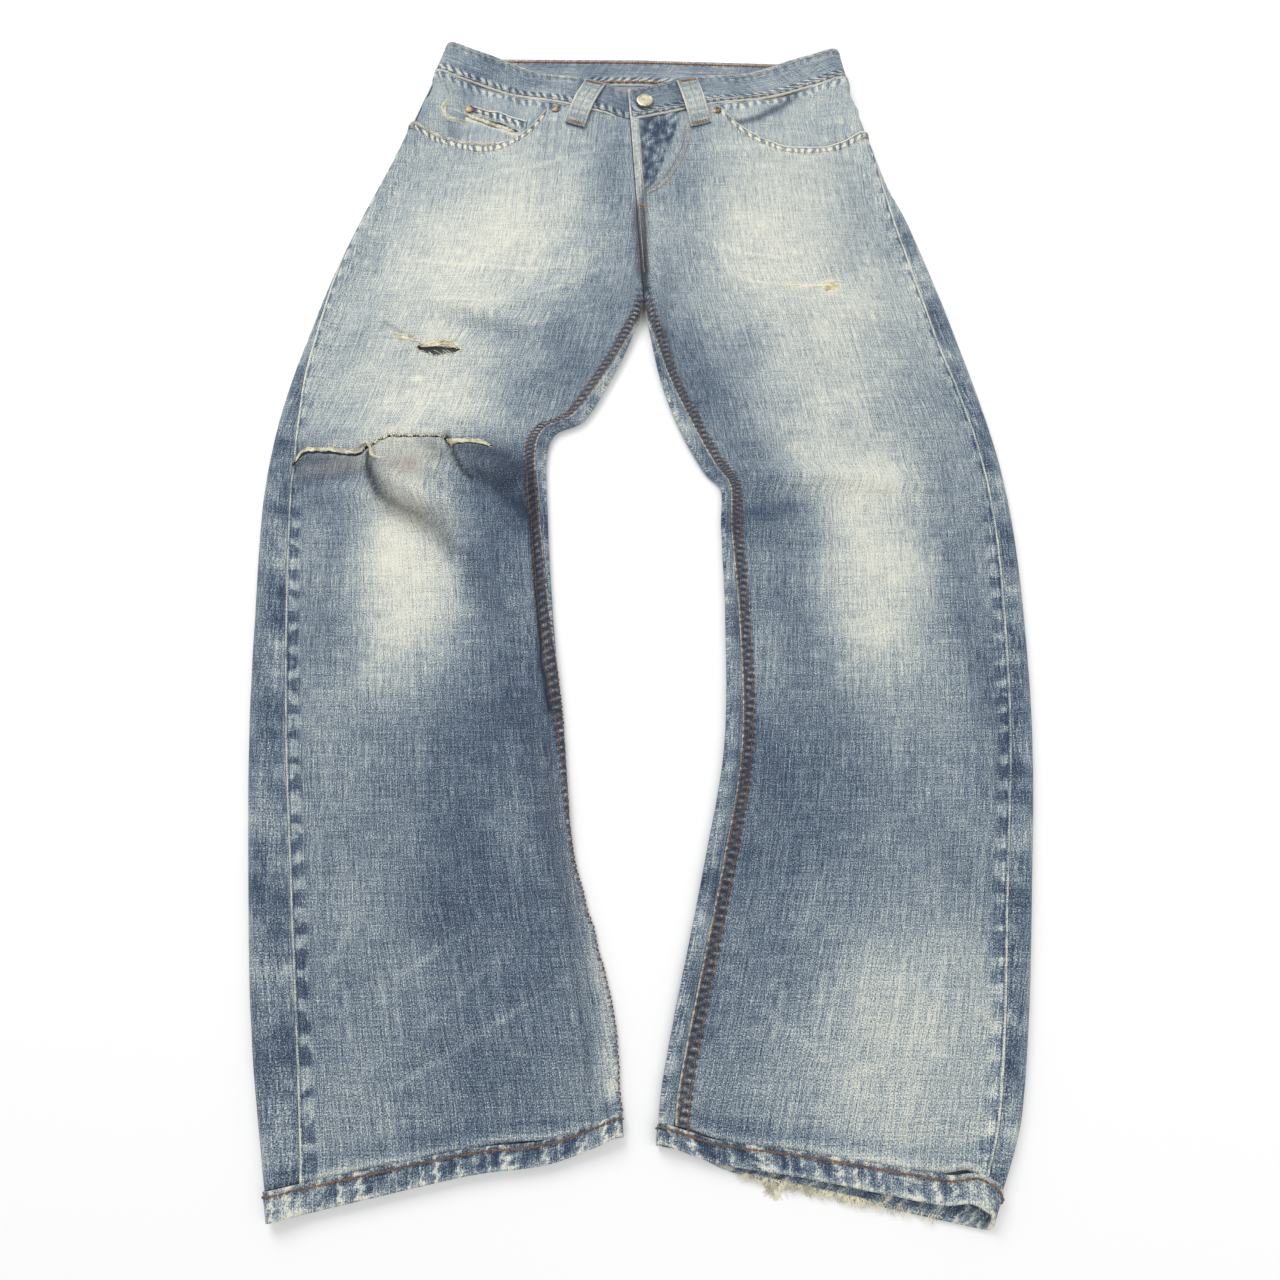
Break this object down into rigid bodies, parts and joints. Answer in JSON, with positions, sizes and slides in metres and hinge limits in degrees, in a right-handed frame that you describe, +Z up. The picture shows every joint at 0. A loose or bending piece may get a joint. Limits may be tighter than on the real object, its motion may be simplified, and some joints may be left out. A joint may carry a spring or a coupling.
{
  "type": "ripped jeans, laid flat",
  "caption": "Faded mid-blue denim jeans laid flat on their back with bowed legs, a torn knee, a worn thigh hole, frayed pockets and hems, and a fastened waist button.",
  "frame": {"origin": "on the floor, under the middle of the garment's bounding box", "axes": "+Y from the hems towards the waist, +Z up off the floor, +X towards the wearer's left leg"},
  "size_m": [0.639, 1.0808, 0.0237],
  "materials": {
    "denim_front": "faded slub denim, cream at the thighs and knees",
    "denim_back": "mid-blue slub denim",
    "denim_band": "faded denim, white along its worn edges",
    "denim_pocket": "pale faded denim",
    "button_metal": "dull, worn pale",
    "rivet_metal": "dull copper"
  },
  "bodies": {
    "root": {"front_right": "denim_front", "front_left": "denim_front", "back_right": "denim_back", "back_left": "denim_back", "yoke_right": "denim_back", "yoke_left": "denim_back", "hem_right": "denim_front", "hem_left": "denim_front", "waistband": "denim_band", "facing_right": "denim_pocket", "facing_left": "denim_pocket", "coin_pocket": "denim_pocket", "loop_front_right": "denim_band", "loop_front_left": "denim_band", "loop_back_right": "denim_back", "loop_back_centre": "denim_back", "loop_back_left": "denim_back", "back_pocket_right": "denim_back", "back_pocket_left": "denim_back", "waist_button": "button_metal", "rivet_right": "rivet_metal", "rivet_left": "rivet_metal", "rivet_coin": "rivet_metal"}
  },
  "joints": []
}
